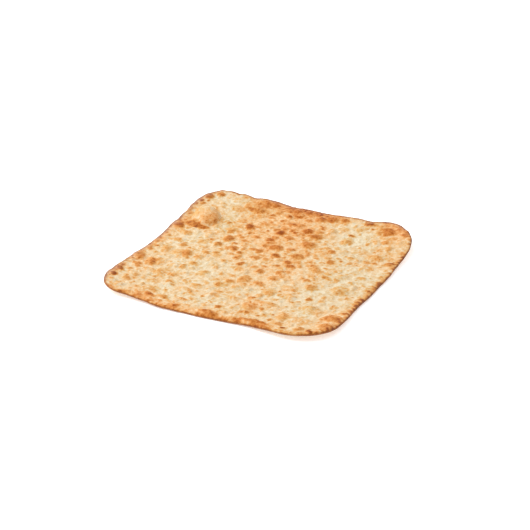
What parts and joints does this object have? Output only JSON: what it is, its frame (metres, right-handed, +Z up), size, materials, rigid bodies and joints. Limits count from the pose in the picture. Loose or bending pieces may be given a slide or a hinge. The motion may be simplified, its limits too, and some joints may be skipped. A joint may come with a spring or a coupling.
{
  "type": "thin flatbread",
  "caption": "Thin square flatbread with round, gently curled corners, a beaded edge and a blistered, toasted top.",
  "frame": {"origin": "centre of the bread's outline seen from above, on the surface that it lies on", "axes": "+Z up out of the blistered top; +X and +Y along the two straight directions of the square outline, with the big bubble near the corner at -X, +Y"},
  "size_m": [0.2501, 0.2572, 0.0115],
  "materials": {
    "toasted_crust": "dry baked crust, pale cream to golden, matt with a faint sheen on the browned blisters"
  },
  "bodies": {
    "root": {"flatbread": "toasted_crust"}
  },
  "joints": []
}
